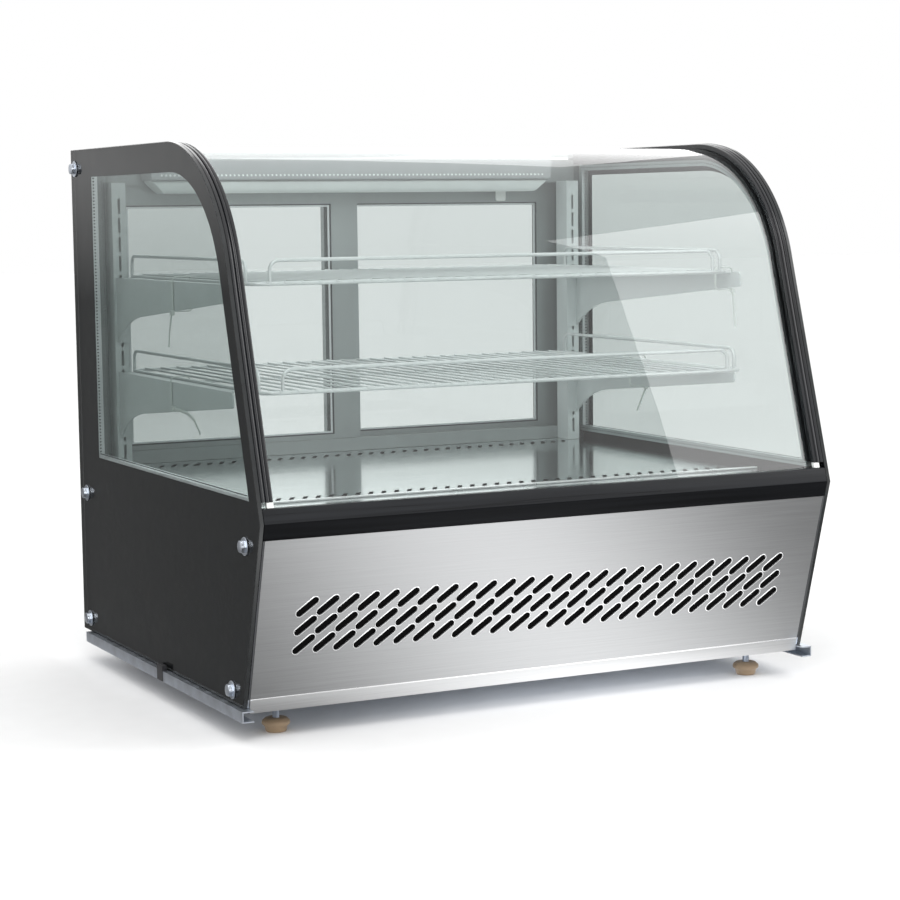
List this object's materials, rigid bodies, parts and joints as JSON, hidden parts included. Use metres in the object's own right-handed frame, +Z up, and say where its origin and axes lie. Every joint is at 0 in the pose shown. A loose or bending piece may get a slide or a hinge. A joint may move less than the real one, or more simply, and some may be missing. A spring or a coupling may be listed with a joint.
{
  "type": "bakery display case",
  "caption": "Countertop refrigerated display case with a bent glass front, wire shelves on brackets, sliding rear doors and a slotted steel base.",
  "frame": {"origin": "centre of the footprint, on the worktop under the feet", "axes": "+X to the right seen from the customer side, -Y towards the bent glass front, +Z up"},
  "size_m": [0.7768, 0.644, 0.68],
  "materials": {
    "black_glass": "clear glass, black printed on its inner face round the window",
    "clear_glass": "clear tempered, faint green edge",
    "black_plastic": "satin black",
    "grey_plastic": "satin grey",
    "white_plastic": "satin white",
    "diffuser": "frosted white",
    "satin_steel": "fine satin grain",
    "mirror_steel": "polished bright",
    "zinc_plate": "galvanised, faint spangle",
    "aluminium": "grey satin",
    "spacer_aluminium": "satin, pierced with fine holes",
    "zinc_wire": "bright zinc plated wire",
    "bracket_paint": "light grey satin",
    "white_liner": "white moulded liner",
    "coil_fins": "mill finish",
    "machine_black": "black enamel",
    "moulding_black": "satin black",
    "foot_brown": "tan brown pad on a zinc stud"
  },
  "bodies": {
    "case": {"base_cabinet": "zinc_plate", "rail_left": "zinc_plate", "rail_right": "zinc_plate", "condenser_fan_plate": "zinc_plate", "front_sill": "black_plastic", "front_trim_left": "black_plastic", "front_trim_right": "black_plastic", "control_plate": "black_plastic", "cable_gland": "black_plastic", "front_grille_panel": "satin_steel", "rear_panel": "satin_steel", "side_glass_left": "black_glass", "side_glass_right": "black_glass", "inner_glass_left": "clear_glass", "inner_glass_right": "clear_glass", "front_glass": "clear_glass", "spacer_left": "spacer_aluminium", "spacer_right": "spacer_aluminium", "rear_frame": "aluminium", "lamp_housing": "grey_plastic", "evaporator_fan_plate": "grey_plastic", "lamp_diffuser": "diffuser", "upright_left": "bracket_paint", "upright_right": "bracket_paint", "deck_panel": "mirror_steel", "insulated_well": "white_liner", "evaporator_coil": "coil_fins", "condenser_coil": "coil_fins", "thermostat": "moulding_black", "compressor": "machine_black", "condensate_tray": "white_plastic", "side_bolt_left_1": "zinc_plate", "side_bolt_left_2": "zinc_plate", "side_bolt_left_3": "zinc_plate", "side_bolt_left_4": "zinc_plate", "side_bolt_left_5": "zinc_plate", "side_bolt_right_1": "zinc_plate", "side_bolt_right_2": "zinc_plate", "side_bolt_right_3": "zinc_plate", "side_bolt_right_4": "zinc_plate", "side_bolt_right_5": "zinc_plate"},
    "door_left": {"door_frame_left": "aluminium", "door_pane_left": "clear_glass"},
    "door_right": {"door_frame_right": "aluminium", "door_pane_right": "clear_glass"},
    "shelf_lower": {"shelf_lower": "zinc_wire", "bracket_lower_left": "bracket_paint", "bracket_lower_right": "bracket_paint"},
    "shelf_upper": {"shelf_upper": "zinc_wire", "bracket_upper_left": "bracket_paint", "bracket_upper_right": "bracket_paint"},
    "evaporator_fan": {"evaporator_fan": "moulding_black"},
    "condenser_fan": {"condenser_fan": "moulding_black"},
    "power_rocker": {"power_rocker": "black_plastic"},
    "light_rocker": {"light_rocker": "black_plastic"},
    "foot_1": {"foot_1": "foot_brown"},
    "foot_2": {"foot_2": "foot_brown"},
    "foot_3": {"foot_3": "foot_brown"},
    "foot_4": {"foot_4": "foot_brown"}
  },
  "joints": [
    {"name": "door_left_slide", "type": "slide", "parent": "case", "child": "door_left", "axis": [1, 0, 0], "range_m": [0, 0.325]},
    {"name": "door_right_slide", "type": "slide", "parent": "case", "child": "door_right", "axis": [1, 0, 0], "range_m": [-0.315, 0.01]},
    {"name": "shelf_lower_lift", "type": "slide", "parent": "case", "child": "shelf_lower", "axis": [0, 0, 1], "range_m": [0, 0.008]},
    {"name": "shelf_upper_lift", "type": "slide", "parent": "case", "child": "shelf_upper", "axis": [0, 0, 1], "range_m": [0, 0.008]},
    {"name": "evaporator_fan_spin", "type": "hinge", "parent": "case", "child": "evaporator_fan", "pos_m": [-0.09, 0.052, 0.209], "axis": [0, 1, 0], "continuous": true},
    {"name": "condenser_fan_spin", "type": "hinge", "parent": "case", "child": "condenser_fan", "pos_m": [-0.1, -0.14, 0.096], "axis": [0, 1, 0], "continuous": true},
    {"name": "power_rocker_tilt", "type": "hinge", "parent": "case", "child": "power_rocker", "pos_m": [0.263, 0.3148, 0.205], "axis": [1, 0, 0], "range_deg": [0, 12]},
    {"name": "light_rocker_tilt", "type": "hinge", "parent": "case", "child": "light_rocker", "pos_m": [0.288, 0.3148, 0.205], "axis": [1, 0, 0], "range_deg": [0, 12]},
    {"name": "foot_1_thread", "type": "slide", "parent": "case", "child": "foot_1", "axis": [0, 0, 1], "range_m": [-0.006, 0.006]},
    {"name": "foot_2_thread", "type": "slide", "parent": "case", "child": "foot_2", "axis": [0, 0, 1], "range_m": [-0.006, 0.006]},
    {"name": "foot_3_thread", "type": "slide", "parent": "case", "child": "foot_3", "axis": [0, 0, 1], "range_m": [-0.006, 0.006]},
    {"name": "foot_4_thread", "type": "slide", "parent": "case", "child": "foot_4", "axis": [0, 0, 1], "range_m": [-0.006, 0.006]}
  ]
}
